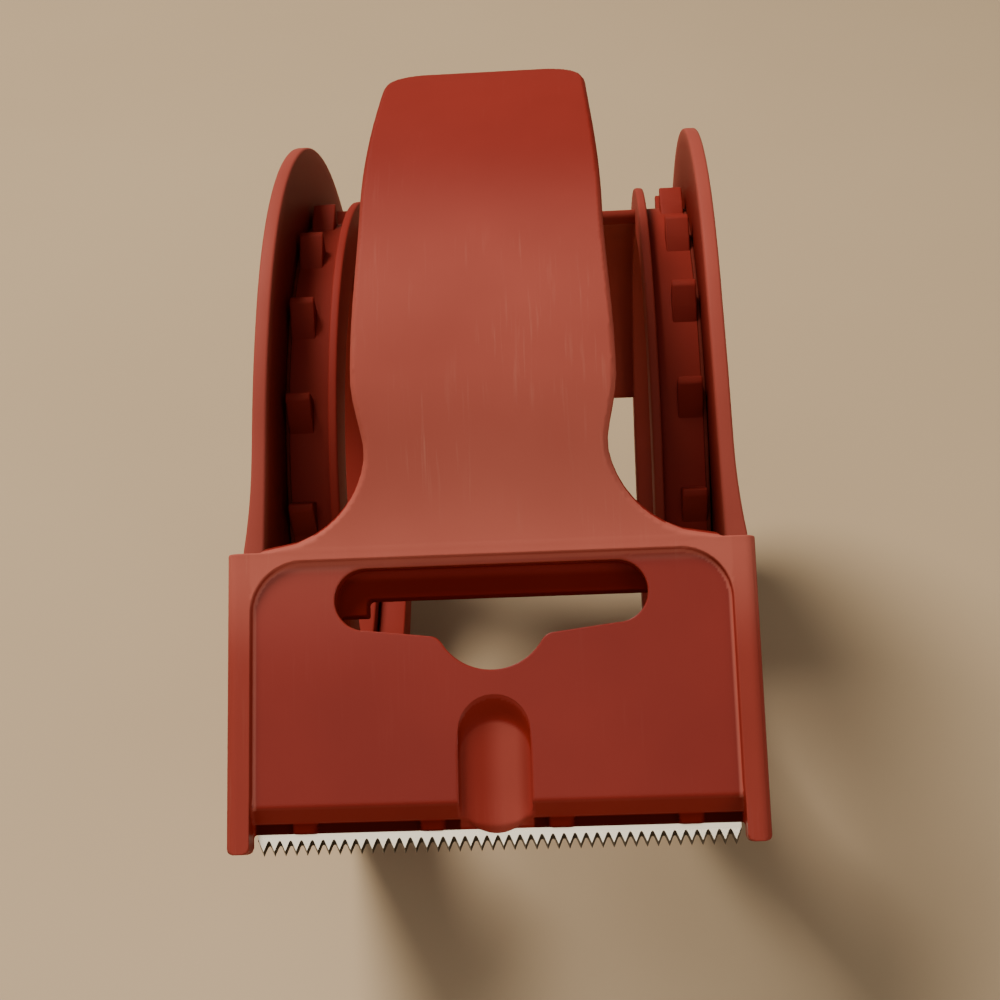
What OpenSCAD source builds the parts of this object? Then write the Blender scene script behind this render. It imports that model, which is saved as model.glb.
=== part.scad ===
// Hand-held packing tape dispenser: a front plate with a strap handle and a toothed blade,
// and two hinged side arms whose turning hubs carry the roll's core.
// Millimetres. +Z up, the blade towards -Y, the roll's axis along X.
// The origin is on the table under the middle.

/* [Roll] */
// Inside diameter of the paper core that the hubs carry
core_bore = 76.2; // [60:0.2:80]
// Radial play of the core on the hubs
core_play = 0.2; // [0.1:0.1:1]

/* [Hubs] */
// Width of a hub, from the arm's inner face to its lip ring's free face
hub_w = 6.6; // [6.2:0.05:10]
// Height of the lip ring and of the rib tips, which carry the core, above the drum
lip_h = 2.8; // [1.5:0.1:4]
// Thickness of the lip ring
lip_t = 1.1; // [0.8:0.1:1.8]
// Wall of the drum
drum_wall = 2.2; // [1.6:0.1:3]
// Thickness of the drum's end web beside the arm
hub_web_t = 1.8; // [1.2:0.1:2.6]
// Radius of the sleeve on which the hub turns in its arm
sleeve_r = 31.2; // [26:0.1:32]
// Wall of the sleeve
sleeve_wall = 2; // [1.4:0.1:3]
// Number of stop ribs on each hub
rib_count = 18; // [8:1:28]
// Length of a stop rib along the hub
rib_l = 2.9; // [1.5:0.1:4]
// Thickness of a stop rib at its tip
rib_tip_t = 0.9; // [0.6:0.1:1.6]
// Angle over which a stop rib's sloping face runs down to the drum
rib_ramp_deg = 6.7; // [2:0.1:9]
// Turn of the first stop rib from the back of the hub
rib_start_deg = 7; // [0:0.5:18]
// Thickness of the drag washer between hub and arm
washer_t = 0.4; // [0.3:0.1:1]
// Thickness of the retaining ring outside the arm
ring_t = 0.9; // [0.7:0.1:1.4]
// Height of the retaining ring above the sleeve
ring_h = 2.6; // [1.5:0.1:4]

/* [Core bridge] */
// Wall of the curved tongue that carries the core
bridge_wall = 1.8; // [1.2:0.1:2.6]
// Gap between the tongue's free end and the left lip ring
bridge_end_gap = 1.3; // [0.6:0.1:6]
// Lower end of the tongue, as a turn from the back of the hub
bridge_low_deg = -18; // [-60:1:0]
// Upper end of the tongue, as a turn from the back of the hub
bridge_high_deg = 65; // [20:1:80]
// Length of the spigots that hold the lip rings in the drums
spigot_l = 2.8; // [2:0.1:3.4]
// Wall of the spigots
spigot_wall = 1.4; // [1:0.1:2]

/* [Arms] */
// Distance of an arm's outer face in from the plate's end
arm_inset = 1.3; // [0.4:0.1:1.6]
// Thickness of an arm
arm_t = 1.7; // [1.3:0.1:2.1]
// Radius of the arm's round end
disc_r = 45.4; // [42:0.1:48]
// Length of the flat edge that the dispenser stands on, from under the hub forward
foot_l = 24; // [20:0.5:40]
// Radius of the foot's front corner
foot_corner_r = 5.5; // [2:0.5:9]
// Height of the arm's lower front corner along the plate
arm_low = 2.7; // [1:0.1:5]

/* [Front plate] */
// Gap between an end of the blade and the ear beside it
blade_gap = 0.4; // [0.2:0.1:1]
// Length of the ears along the slope
plate_l = 31.3; // [29:0.1:36]
// Slope of the plate above the horizontal, in degrees
plate_slope = 40.3; // [34:0.2:48]
// Thickness of the plate at its ears
plate_t = 2.8; // [2.4:0.1:3.6]
// Width of a raised ear
ear_w = 2.5; // [2.2:0.1:3.4]
// Radius of the ears' lower corners
ear_corner_r = 0.6; // [0.4:0.1:1.2]
// Depth of the sunk panel between the ears
panel_sink = 0.7; // [0.4:0.1:0.9]
// Radius of the panel's two upper corners
panel_corner_r = 5.5; // [3:0.5:8]
// Width of the border above the panel
panel_border = 1.0; // [0.8:0.1:1.6]
// Height of the panel's lower lip above the ears' lower ends
lip_rise = 3; // [2.2:0.1:4]
// Height of the chamfer along the panel's lower lip
lip_bevel = 1.7; // [0.8:0.1:2.4]
// Depth of the chamfer along the panel's lower lip
lip_drop = 1.2; // [0.6:0.1:1.2]
// Height of the sloping skirt under the lip, behind which the blade lies
skirt_l = 1.1; // [0.4:0.1:1.6]
// Thickness of the skirt at its lower edge
skirt_t = 0.3; // [0.2:0.1:0.8]
// Width of a small tab under the lip
tab_w = 2.2; // [1:0.1:3.6]
// Length of a small tab under the lip
tab_l = 1.1; // [0.5:0.1:1.8]
// Thickness of a small tab under the lip
tab_t = 0.8; // [0.4:0.1:0.9]

/* [Hang slot] */
// Width of the hang slot from end to end
slot_w = 33; // [20:0.2:38]
// Height of the hang slot at its ends
slot_h = 6.6; // [5:0.1:7.4]
// Fall of the slot's lower edge from its ends to the bump
slot_dip = 0.9; // [0.2:0.1:1.6]
// Width of the slot's rounded bump
bump_w = 11.2; // [8:0.2:15]
// Depth of the slot's rounded bump
bump_h = 3.6; // [2:0.1:5]
// Radius where the bump meets the slot's lower edge
bump_fillet_r = 1.6; // [0.4:0.1:2]
// Distance from the panel's upper edge down to the slot
slot_drop = 1; // [0.8:0.1:1.4]

/* [Thumb scoop] */
// Width of the thumb scoop
scoop_w = 7.5; // [5:0.1:9]
// Length of the thumb scoop above the lip
scoop_l = 12.6; // [6:0.1:13]
// Depth of the thumb scoop below the panel
scoop_sink = 1; // [0.5:0.1:1.2]
// Reach of the rounded nose below the lip at the scoop
nose_l = 1.5; // [0.5:0.1:1.8]

/* [Handle] */
// Outer radius of the handle's arc about the roll's axis
handle_r = 55.8; // [54:0.1:60]
// Thickness of the handle
handle_t = 2.6; // [2:0.1:3.6]
// Turn of the plate's upper edge from the back of the hub
handle_base_deg = 150.5; // [145:0.2:155]
// Turn of the handle's free end from the back of the hub
handle_end_deg = 81.6; // [70:0.2:95]
// Width of the handle at its waist near the plate
waist_w = 25.6; // [20:0.1:30]
// Width of the handle where it swells above the waist
swell_w = 28.3; // [20:0.1:32]
// Width of the handle at mid length
mid_w = 26.8; // [20:0.1:32]
// Width of the handle at its free end
end_w = 24.3; // [18:0.1:30]
// Radius of the free end's corners
end_corner_r = 4.1; // [1:0.1:7]
// Radius of the fillets where the handle spreads into the plate
base_fillet_r = 11.5; // [4:0.1:12.5]
// Distance along the arc from the plate to the handle's swell
swell_at = 18.2; // [16:0.1:24]
// Distance along the arc from the plate to the handle's mid length
mid_at = 38.7; // [30:0.1:46]
// Rounding of the handle's long edges
handle_edge_r = 0.8; // [0.3:0.1:0.9]

/* [Guide rib] */
// Depth of the rib behind the hang slot
guide_depth = 2.7; // [1:0.1:3.6]
// Height of the rib along the plate
guide_h = 3.4; // [2:0.1:5]
// Rise of the rib above the slot's upper edge
guide_rise = 0.4; // [0.2:0.1:0.8]
// Height of the rib's small stop lug
stop_lug_h = 1.8; // [1:0.1:3]
// Width of the rib's small stop lug
stop_lug_w = 4; // [2:0.1:7]
// Distance of the stop lug's middle from the mid-plane
stop_lug_x = 15.3; // [10:0.1:18]

/* [Hinges] */
// Diameter of a hinge pin
pin_d = 1.8; // [1.4:0.1:2]
// Radial clearance of the pin in its holes
pin_play = 0.05; // [0.02:0.01:0.1]
// Outside radius of the hinge barrels and lugs
barrel_r = 2; // [1.8:0.1:2.2]
// Gap between a barrel and the plate's back
barrel_gap = 0.4; // [0.3:0.1:1]
// Length of a lug along the pin
lug_l = 4.1; // [3:0.1:5.4]
// Gap between a lug and the arm's barrel
lug_gap = 0.3; // [0.2:0.1:0.6]
// Distance of the lower lug from the ears' lower ends
lug_low = 4.1; // [3:0.1:5.4]
// Distance of the upper lug from the plate's upper edge
lug_high = 2.4; // [2:0.1:4.4]
// Radius of the pin's head
pin_head_r = 1.5; // [1.3:0.1:1.8]
// Height of the pin's head
pin_head_h = 0.6; // [0.5:0.1:0.9]

/* [Blade] */
// Length of the blade, which is about the tape's width
blade_w = 50; // [46:0.2:58]
// Thickness of the blade
blade_t = 0.5; // [0.3:0.1:0.8]
// Number of teeth
tooth_count = 44; // [20:1:60]
// Depth of a tooth
tooth_h = 1.3; // [0.8:0.1:1.6]
// Reach of the tooth tips below the ears' lower ends
tip_reach = 0.3; // [0:0.1:0.8]
// Height of the clamp bar along the plate
clamp_h = 4.6; // [4:0.1:5.4]
// Thickness of the clamp bar
clamp_t = 1.6; // [1.2:0.1:2.4]
// Number of blade screws, and of tabs under the lip
screw_count = 4; // [2:1:4]
// Distance from one blade screw to the next
screw_pitch = 13.3; // [10:0.1:13.6]
// Diameter of a blade screw
screw_d = 1.6; // [1.2:0.1:1.8]
// Depth of a blade screw in the plate
screw_bite = 1.1; // [0.8:0.1:1.3]
// Radius of a blade screw's head
screw_head_r = 1.5; // [1.2:0.1:2]
// Height of a blade screw's head
screw_head_h = 0.9; // [0.6:0.1:1.2]
// Radial clearance of a screw in its holes
screw_play = 0.05; // [0.02:0.01:0.1]

/* [Hidden] */

red = [0.66, 0.10, 0.09];
steel = [0.78, 0.78, 0.76];
fibre = [0.20, 0.07, 0.06];
eps = 0.01;
big = 200;
$fn = 96;

// Small gaps of pieces that turn or slide into each other
face_gap = 0.05;
ring_gap = 0.15;
fit_gap = 0.05;
spigot_gap = 0.05;
// Inset of the hinge axis from the arm's middle, and room beside the barrels
hinge_inset = 0.6;
side_gap = 1;
barrel_room = 0.6;
washer_edge = 0.1;
web_bury = 1;

// Widths that follow from the blade
plate_w = blade_w + 2 * (blade_gap + ear_w);
arm_out = plate_w / 2 - arm_inset;
arm_in = arm_out - arm_t;
lip_in = arm_in - hub_w;

// Hub sizes
seat_r = core_bore / 2 - core_play;
drum_r = seat_r - lip_h;
drum_in = lip_in + lip_t;
washer_out = arm_in - face_gap;
drum_out = washer_out - washer_t - face_gap;
ring_in = arm_out + ring_gap;
ring_out = ring_in + ring_t;
bore_r = sleeve_r + fit_gap;
drum_bore_r = drum_r - drum_wall;
bridge_sweep_deg = bridge_high_deg - bridge_low_deg;

// The plate's own frame: y up the slope from the ears' lower ends, z out of its face
edge_y = handle_r * cos(handle_base_deg);
edge_z = handle_r * sin(handle_base_deg);
toe_y = edge_y - plate_l * cos(plate_slope);
toe_z = edge_z - plate_l * sin(plate_slope);
hub_y = (-toe_y - disc_r) / 2;
hub_z = disc_r;

// Heights on the plate
panel_top = plate_l - panel_border;
slot_top = panel_top - slot_drop;
slot_mid = slot_top - slot_h / 2;
panel_face = -panel_sink;
plate_back = -plate_t;
hinge_deep = plate_t + barrel_gap + barrel_r;
hinge_x = arm_in + arm_t / 2 - hinge_inset;
inner_half = hinge_x - barrel_r - side_gap;
lug_top = plate_l - lug_high;
barrel_low = lug_low + lug_l + lug_gap;
barrel_high = lug_top - lug_l - lug_gap;
arm_front = -(hinge_deep + barrel_r + barrel_room);
hinge_bore_r = pin_d / 2 + pin_play;
blade_low = -tip_reach;
clamp_low = lip_rise + side_gap;
clamp_mid = clamp_low + clamp_h / 2;
blade_high = clamp_low + clamp_h;
blade_step = lug_low - lug_gap;
blade_back = plate_back - blade_t;
clamp_back = blade_back - clamp_t;
screw_bore_r = screw_d / 2 + screw_play;
screw_span = (screw_count - 1) * screw_pitch;

// Arc of the handle from the plate's edge to the free end
handle_deg = handle_base_deg - handle_end_deg;
handle_len = handle_r * handle_deg * PI / 180;
handle_steps = 56;
foot_steps = 8;
rim_fn = 180;
// Length of the handle's root inside the plate
handle_root = 2;

// Places
module at_hub() {
    translate([0, hub_y, hub_z]) children();
}

module on_plate() {
    at_hub() translate([0, toe_y, toe_z]) rotate([plate_slope, 0, 0]) children();
}

module on_side(side) {
    mirror([side < 0 ? 1 : 0, 0, 0]) children();
}

// A solid of revolution about the roll's axis, with its profile as [radius, x]
module about_axis(profile) {
    rotate([0, 90, 0]) rotate_extrude() polygon(profile);
}

module ring(r_in, r_out, x_in, x_out) {
    about_axis([[r_in, x_in], [r_out, x_in], [r_out, x_out], [r_in, x_out]]);
}

// A flat outline in Y and Z, given its thickness along X
module side_plate(x_in, x_out) {
    translate([x_in, 0, 0]) rotate([90, 0, 90]) linear_extrude(x_out - x_in) children();
}

// A point on the plate's frame, as [y, z] from the hub
function from_plate(p) = [
    toe_y + p[0] * cos(plate_slope) - p[1] * sin(plate_slope),
    toe_z + p[0] * sin(plate_slope) + p[1] * cos(plate_slope)
];

// Where the upper tangent from a point meets the arm's round end
function tangent_point(p) =
    let (turn = atan2(p[1], p[0]) - acos(disc_r / norm(p)))
    [disc_r * cos(turn), disc_r * sin(turn)];

// Handle width along its arc, from the plate's edge
function ease(t) = t <= 0 ? 0 : t >= 1 ? 1 : t * t * (3 - 2 * t);
function blend(a, b, from, to, s) = a + (b - a) * ease((s - from) / (to - from));
function strap_w(s) =
    s < swell_at ? blend(waist_w, swell_w, swell_at / 2, swell_at, s)
    : s < mid_at ? blend(swell_w, mid_w, swell_at, mid_at, s)
    : blend(mid_w, end_w, mid_at, handle_len, s);
function corner_cut(r, d) = d >= r ? 0 : r - sqrt(max(0, r * r - (r - d) * (r - d)));
function handle_w(s) =
    strap_w(s) + 2 * corner_cut(base_fillet_r, s) - 2 * corner_cut(end_corner_r, handle_len - s);

// Cross-section of the handle: a bar with rounded long edges, as [x, radius]
function strap_section(w) = [
    for (q = [0:3], a = [0, 30, 60, 90])
        let (
            sx = q == 0 || q == 3 ? 1 : -1,
            sr = q < 2 ? 1 : -1,
            t = q * 90 + a
        )
        [
            sx * (w / 2 - handle_edge_r) + handle_edge_r * cos(t),
            handle_r - handle_t / 2 + sr * (handle_t / 2 - handle_edge_r) + handle_edge_r * sin(t)
        ]
];

module handle_strap() {
    sections = [
        for (i = [0:handle_steps])
            let (
                u = i / handle_steps,
                s = -handle_root + (handle_len + handle_root) * (1 - cos(180 * u)) / 2,
                turn = handle_base_deg - s / handle_len * handle_deg
            )
            [for (p = strap_section(handle_w(s))) [p[0], p[1] * cos(turn), p[1] * sin(turn)]]
    ];
    n = len(sections[0]);
    last = handle_steps * n;
    sides = [
        for (i = [0:handle_steps - 1], k = [0:n - 1])
            let (a = i * n + k, b = i * n + (k + 1) % n)
            each [[a, b, a + n], [b, b + n, a + n]]
    ];
    low_cap = [for (k = [1:n - 2]) [0, k + 1, k]];
    high_cap = [for (k = [1:n - 2]) [last, last + k, last + k + 1]];
    polyhedron(points = [for (s = sections) each s], faces = concat(sides, low_cap, high_cap));
}

// Front plate
module plate_outline() {
    half = plate_w / 2;
    translate([-half, ear_corner_r]) square([plate_w, plate_l - ear_corner_r]);
    for (side = [-1, 1], edge = [half - ear_corner_r, half - ear_w + ear_corner_r])
        translate([side * edge, ear_corner_r]) circle(ear_corner_r);
    for (side = [-1, 1])
        translate([side * (half - ear_w / 2) - (ear_w / 2 - ear_corner_r), 0])
            square([ear_w - 2 * ear_corner_r, ear_corner_r + eps]);
}

module panel_outline() {
    half = plate_w / 2 - ear_w;
    translate([-half, -eps]) square([2 * half, panel_top - panel_corner_r + eps]);
    translate([-half + panel_corner_r, 0]) square([2 * (half - panel_corner_r), panel_top]);
    for (side = [-1, 1])
        translate([side * (half - panel_corner_r), panel_top - panel_corner_r]) circle(panel_corner_r);
}

module slot_outline() {
    end_r = slot_h / 2;
    end_x = slot_w / 2 - end_r;
    low = slot_top - slot_h;
    dip = low - slot_dip;
    bump_r = (bump_w * bump_w / 4 + bump_h * bump_h) / (2 * bump_h);
    offset(r = -bump_fillet_r) offset(delta = bump_fillet_r) {
        for (side = [-1, 1]) translate([side * end_x, slot_mid]) circle(end_r);
        polygon([
            [-end_x, slot_top], [-end_x, low], [-bump_w / 2, dip],
            [bump_w / 2, dip], [end_x, low], [end_x, slot_top]
        ]);
        intersection() {
            translate([0, dip - bump_h + bump_r]) circle(bump_r);
            translate([-bump_r, dip - bump_r]) square([2 * bump_r, bump_r + eps]);
        }
    }
}

module scoop_outline() {
    end_r = scoop_w / 2;
    translate([-end_r, -eps]) square([scoop_w, lip_rise + scoop_l - end_r]);
    translate([0, lip_rise + scoop_l - end_r]) circle(end_r);
}

module screw_places() {
    for (i = [0:screw_count - 1])
        translate([i * screw_pitch - screw_span / 2, clamp_mid, 0]) children();
}

module hinge_lug(low) {
    translate([hinge_x, low, -hinge_deep]) rotate([-90, 0, 0]) cylinder(r = barrel_r, h = lug_l);
    translate([hinge_x - barrel_r, low, -hinge_deep])
        cube([2 * barrel_r, lug_l, hinge_deep - plate_t + eps]);
}

module hinge_bore() {
    translate([hinge_x, 0, -hinge_deep]) rotate([-90, 0, 0])
        cylinder(r = hinge_bore_r, h = big, center = true);
}

// The wedge cut away along one half of the panel's lower lip, beside the scoop
module lip_chamfer() {
    half = plate_w / 2 - ear_w;
    translate([scoop_w / 2, 0, 0]) rotate([90, 0, 90]) linear_extrude(half - scoop_w / 2) polygon([
        [lip_rise - eps, panel_face - lip_drop],
        [lip_rise + lip_bevel, panel_face],
        [lip_rise + lip_bevel, plate_t],
        [lip_rise - eps, plate_t]
    ]);
}

// The sloping wall from the lip back to the blade
module lip_skirt() {
    half = plate_w / 2 - ear_w;
    skirt_low = lip_rise - skirt_l;
    translate([-half - eps, 0, 0]) rotate([90, 0, 90]) linear_extrude(2 * (half + eps)) polygon([
        [lip_rise + eps, panel_face - lip_drop],
        [lip_rise + eps, plate_back],
        [skirt_low, plate_back],
        [skirt_low, plate_back + skirt_t]
    ]);
}

module front_plate() {
    half = plate_w / 2 - ear_w;
    difference() {
        translate([0, 0, plate_back]) linear_extrude(plate_t) plate_outline();
        translate([0, 0, panel_face]) linear_extrude(plate_t) panel_outline();
        translate([0, 0, plate_back - eps]) linear_extrude(plate_t + 2 * eps) slot_outline();
        translate([0, 0, panel_face - scoop_sink]) linear_extrude(plate_t) scoop_outline();
        translate([-half, -eps, plate_back - eps]) cube([2 * half, lip_rise + eps, plate_t + 2 * eps]);
        screw_places() translate([0, 0, plate_back - eps]) cylinder(r = screw_bore_r, h = screw_bite);
        for (side = [-1, 1]) on_side(side) lip_chamfer();
    }
    intersection() {
        translate([0, lip_rise + scoop_w / 2 - nose_l, plate_back])
            cylinder(d = scoop_w, h = plate_t - panel_sink - scoop_sink);
        translate([-scoop_w / 2, lip_rise - nose_l, plate_back]) cube([scoop_w, nose_l + eps, plate_t]);
    }
    lip_skirt();
    for (i = [0:screw_count - 1])
        translate([i * screw_pitch - screw_span / 2 - tab_w / 2, lip_rise - tab_l, panel_face - lip_drop - tab_t])
            cube([tab_w, tab_l + eps, tab_t]);
}

module guide_rib() {
    guide_low = slot_top + guide_rise - guide_h;
    translate([-inner_half, guide_low, plate_back - guide_depth])
        cube([2 * inner_half, guide_h, guide_depth + eps]);
    translate([-stop_lug_x - stop_lug_w / 2, guide_low - stop_lug_h, plate_back - guide_depth])
        cube([stop_lug_w, stop_lug_h + eps, guide_depth]);
}

module front_frame() {
    color(red) {
        difference() {
            union() {
                on_plate() {
                    front_plate();
                    guide_rib();
                    for (side = [-1, 1], low = [lug_low, lug_top - lug_l]) on_side(side) hinge_lug(low);
                }
                at_hub() handle_strap();
            }
            on_plate() for (side = [-1, 1]) on_side(side) hinge_bore();
        }
    }
}

// Side arms
module arm_outline() {
    top = from_plate([plate_l + arm_low, arm_front]);
    low = from_plate([arm_low, arm_front]);
    toe = [-foot_l + foot_corner_r, -disc_r + foot_corner_r];
    toe_deg = atan2(low[1] - toe[1], low[0] - toe[0]) + acos(foot_corner_r / norm(low - toe));
    toe_turn = (270 - toe_deg) / foot_steps;
    circle(disc_r, $fn = rim_fn);
    polygon([
        [0, 0],
        tangent_point(top),
        top,
        low,
        for (i = [0:foot_steps])
            toe + foot_corner_r * [cos(toe_deg + i * toe_turn), sin(toe_deg + i * toe_turn)],
        [0, -disc_r]
    ]);
}

module arm(side) {
    color(red) on_side(side) difference() {
        union() {
            at_hub() side_plate(arm_in, arm_out) arm_outline();
            on_plate() {
                translate([hinge_x, barrel_low, -hinge_deep]) rotate([-90, 0, 0])
                    cylinder(r = barrel_r, h = barrel_high - barrel_low);
                translate([arm_in, barrel_low, arm_front - web_bury])
                    cube([arm_t, barrel_high - barrel_low, web_bury - hinge_deep - arm_front]);
            }
        }
        at_hub() rotate([0, 90, 0]) cylinder(r = bore_r, h = big, $fn = rim_fn);
        on_plate() hinge_bore();
    }
}

module hinge_pin(side) {
    color(steel) on_side(side) on_plate() translate([hinge_x, lug_low, -hinge_deep]) rotate([-90, 0, 0]) {
        cylinder(d = pin_d, h = lug_top - lug_low + eps);
        translate([0, 0, lug_top - lug_low]) cylinder(r = pin_head_r, h = pin_head_h);
    }
}

// Hubs
module stop_rib() {
    tip_deg = rib_tip_t / seat_r * 180 / PI;
    root_r = drum_r - drum_wall / 2;
    function spoke(r, turn) = r * [cos(turn), sin(turn)];
    polygon([
        spoke(root_r, 0),
        spoke(seat_r, 0),
        spoke(seat_r, tip_deg),
        spoke(drum_r, tip_deg + rib_ramp_deg),
        spoke(root_r, tip_deg + rib_ramp_deg)
    ]);
}

module hub(side) {
    color(red) on_side(side) at_hub() {
        about_axis([
            [drum_bore_r, drum_in],
            [drum_r, drum_in],
            [drum_r, drum_out],
            [sleeve_r, drum_out],
            [sleeve_r, ring_out],
            [sleeve_r - sleeve_wall, ring_out],
            [sleeve_r - sleeve_wall, drum_out - hub_web_t],
            [drum_bore_r, drum_out - hub_web_t]
        ]);
        side_plate(drum_out - rib_l, drum_out)
            for (i = [0:rib_count - 1]) rotate(rib_start_deg + i * 360 / rib_count) stop_rib();
    }
}

module lip_ring(side) {
    on_side(side) at_hub() about_axis([
        [drum_bore_r - spigot_gap - spigot_wall, lip_in],
        [seat_r, lip_in],
        [seat_r, drum_in],
        [drum_bore_r - spigot_gap, drum_in],
        [drum_bore_r - spigot_gap, drum_in + spigot_l],
        [drum_bore_r - spigot_gap - spigot_wall, drum_in + spigot_l]
    ]);
}

module core_bridge() {
    tongue_l = 2 * lip_in - bridge_end_gap;
    color(red) {
        lip_ring(1);
        at_hub() translate([lip_in + eps - tongue_l, 0, 0]) rotate([90, 0, 90])
            rotate([0, 0, bridge_low_deg]) rotate_extrude(angle = bridge_sweep_deg)
                translate([drum_r - bridge_wall, 0]) square([bridge_wall, tongue_l]);
    }
}

module retaining_ring(side) {
    color(red) on_side(side) at_hub() ring(sleeve_r + fit_gap, sleeve_r + ring_h, ring_in, ring_out);
}

module drag_washer(side) {
    color(fibre) on_side(side) at_hub()
        ring(bore_r + washer_edge, drum_r - washer_edge, washer_out - washer_t, washer_out);
}

// Blade
module blade_outline() {
    pitch = blade_w / tooth_count;
    root = blade_low + tooth_h;
    polygon([
        [inner_half, blade_step],
        [inner_half, blade_high],
        [-inner_half, blade_high],
        [-inner_half, blade_step],
        [-blade_w / 2, blade_step],
        [-blade_w / 2, root],
        for (i = [0:tooth_count - 1]) each [
            [-blade_w / 2 + (i + 0.5) * pitch, blade_low],
            [-blade_w / 2 + (i + 1) * pitch, root]
        ],
        [blade_w / 2, blade_step]
    ]);
}

module cutter_blade() {
    color(steel) on_plate() difference() {
        translate([0, 0, blade_back]) linear_extrude(blade_t) blade_outline();
        screw_places() translate([0, 0, blade_back - eps])
            cylinder(r = screw_bore_r, h = blade_t + 2 * eps);
    }
}

module blade_clamp() {
    color(red) on_plate() difference() {
        translate([-inner_half, clamp_low, clamp_back]) cube([2 * inner_half, clamp_h, clamp_t]);
        screw_places() translate([0, 0, clamp_back - eps])
            cylinder(r = screw_bore_r, h = clamp_t + 2 * eps);
    }
}

module blade_screws() {
    shank_l = clamp_t + blade_t + screw_bite - 2 * face_gap;
    color(steel) on_plate() screw_places() translate([0, 0, clamp_back]) {
        cylinder(d = screw_d, h = shank_l);
        translate([0, 0, -screw_head_h]) cylinder(r = screw_head_r, h = screw_head_h);
    }
}

front_frame();
arm(-1);  // left_arm
arm(1);  // right_arm
hinge_pin(-1);  // left_hinge_pin
hinge_pin(1);  // right_hinge_pin
hub(-1);  // left_hub
hub(1);  // right_hub
color(red) lip_ring(-1);  // left_lip_ring
core_bridge();
retaining_ring(-1);  // left_retaining_ring
retaining_ring(1);  // right_retaining_ring
drag_washer(-1);  // left_drag_washer
drag_washer(1);  // right_drag_washer
cutter_blade();
blade_clamp();
blade_screws();
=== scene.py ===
# %% [markdown]
# # A hand-held packing tape dispenser
# The solids of the dispenser are loaded first, as a fixed frame in metres. Every piece made below
# sits on one of its bodies, so it can move when the arms swing or the hubs turn.

# %% Load the solids
import math

import bmesh
import bpy
import numpy as np
from mathutils import Matrix, Vector
from mathutils.kdtree import KDTree


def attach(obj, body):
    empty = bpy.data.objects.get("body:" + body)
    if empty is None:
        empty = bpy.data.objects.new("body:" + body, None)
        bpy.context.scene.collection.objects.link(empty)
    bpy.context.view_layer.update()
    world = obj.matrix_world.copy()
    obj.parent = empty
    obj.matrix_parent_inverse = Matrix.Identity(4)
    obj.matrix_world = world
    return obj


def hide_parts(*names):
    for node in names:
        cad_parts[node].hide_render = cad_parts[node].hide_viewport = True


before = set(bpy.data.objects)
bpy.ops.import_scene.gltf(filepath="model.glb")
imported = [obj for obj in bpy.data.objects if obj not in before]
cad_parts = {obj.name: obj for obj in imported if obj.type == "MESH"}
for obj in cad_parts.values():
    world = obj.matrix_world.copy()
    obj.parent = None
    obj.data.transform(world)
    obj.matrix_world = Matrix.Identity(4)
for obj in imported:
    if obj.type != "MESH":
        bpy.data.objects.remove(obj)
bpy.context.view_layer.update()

MM = 0.001

# %% [markdown]
# ## Camera
# The photo looks down on the blade end from a little to the right, at about 40 degrees above the
# table and from only 23 cm away, so the near plate looks wide and the handle's far end narrow. The
# place, turn and lens were found by lining up the plate's corners, the handle's edges and the rims of
# the round arms with the photo.

# %% Camera at the photo's viewpoint
camera_data = bpy.data.cameras.new("photo_camera")
camera_data.lens = 58.2
camera_data.sensor_width = 36.0
camera_data.clip_start = 0.005
camera = bpy.data.objects.new("photo_camera", camera_data)
camera.location = (10.88 * MM, -165.53 * MM, 181.44 * MM)
camera.rotation_euler = [math.radians(a) for a in (51.76, 3.74, 1.13)]
bpy.context.scene.collection.objects.link(camera)
bpy.context.scene.camera = camera
print("camera", [round(v, 3) for v in camera.location])

# %% [markdown]
# ## Where things are
# The pieces share a few sizes: the roll's axis, the slope of the front plate and the radii of the
# hubs. They are written once, in millimetres, with a frame for the plate and a helper that places a
# point round the roll's axis. In the plate's frame x runs across, y up the slope from the ears' lower
# ends, and z out of the face.

# %% Shared sizes and places
HUB_Y, HUB_Z = 13.5187, 45.4
TOE_Y, TOE_Z = -58.9187, 52.6327
SLOPE = math.radians(40.3)
PLATE_W, PLATE_L, PLATE_T = 55.8, 31.3, 2.8
EAR_W, LIP_RISE, PANEL_SINK = 2.5, 3.0, 0.7
ARM_IN, ARM_OUT = 24.9, 26.6
SEAT_R, DRUM_R, DRUM_BORE_R = 37.9, 35.1, 32.9
SLEEVE_R, SLEEVE_BORE_R, ARM_BORE_R = 31.2, 29.2, 31.25
LIP_IN, DRUM_IN, DRUM_OUT = 18.3, 19.4, 24.4
RING_IN, RING_OUT = 26.75, 27.65
SIDES = (("left", -1), ("right", 1))

PLATE_FRAME = Matrix.Translation((0, TOE_Y * MM, TOE_Z * MM)) @ Matrix.Rotation(SLOPE, 4, "X")


def around_axis(x, r, turn):
    """A point at radius r round the roll's axis; turn 0 is at the back and 90 degrees at the top."""
    return Vector((x * MM, (HUB_Y + r * math.cos(turn)) * MM, (HUB_Z + r * math.sin(turn)) * MM))


print("plate frame at", [round(v / MM, 1) for v in PLATE_FRAME.translation], "mm")

# %% [markdown]
# ## Node helpers
# Each finish is built from a few kinds of nodes: noises, colour ramps, mixes and the masks that a mesh
# carries. Wiring them one by one would hide what a finish is made of, so small helpers do the wiring,
# and a finish then reads as a list of its layers.

# %% Helpers: node wiring
def feed(tree, value, socket):
    """Links a node's output to the socket, or sets a plain number or colour on it."""
    if isinstance(value, bpy.types.NodeSocket):
        tree.links.new(value, socket)
    else:
        socket.default_value = value


def add(tree, kind, **inputs):
    """A new node with its inputs set or linked by name."""
    made = tree.nodes.new(kind)
    for name, value in inputs.items():
        feed(tree, value, made.inputs[name])
    return made


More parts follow.
